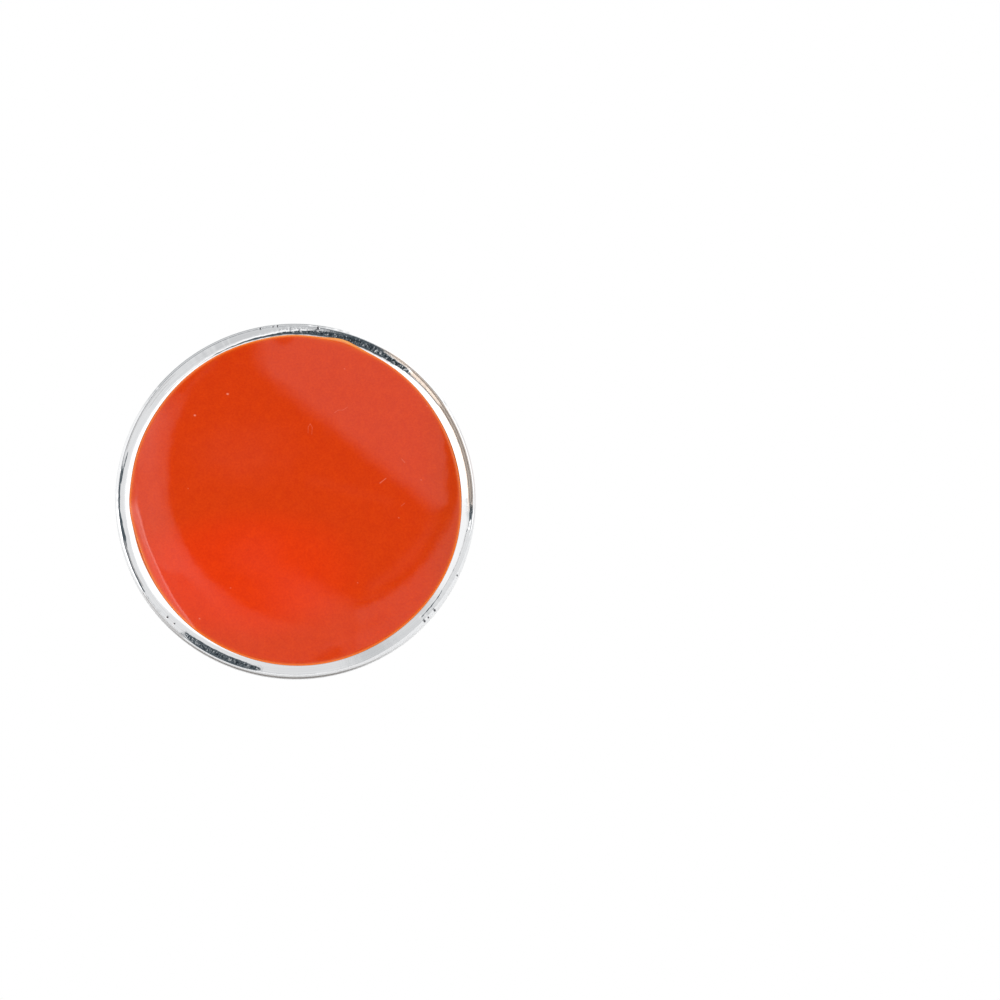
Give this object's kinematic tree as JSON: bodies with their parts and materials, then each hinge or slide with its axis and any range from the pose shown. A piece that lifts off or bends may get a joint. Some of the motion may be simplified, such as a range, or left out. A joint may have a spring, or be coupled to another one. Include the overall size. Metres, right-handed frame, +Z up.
{
  "type": "enamel stud earring",
  "caption": "Round stud earring: domed orange-red enamel in a silver dish with a rounded lip, and a straight ear post behind; lies face up on its foot and the post's tip.",
  "frame": {"origin": "on the surface that the stud lies on, under the middle of its bounding box", "axes": "+Z up from that surface; +X across the disc, to the right seen from the front; the enamel looks up and towards -Y, and the post reaches down and back towards +Y"},
  "size_m": [0.02, 0.018, 0.0137],
  "materials": {
    "polished_silver": "polished silver, with a few small dark pits on the lip",
    "enamel": "glossy orange-red enamel with fine specks, thinner and brighter at its edge"
  },
  "bodies": {
    "root": {"setting": "polished_silver", "enamel": "enamel"}
  },
  "joints": []
}
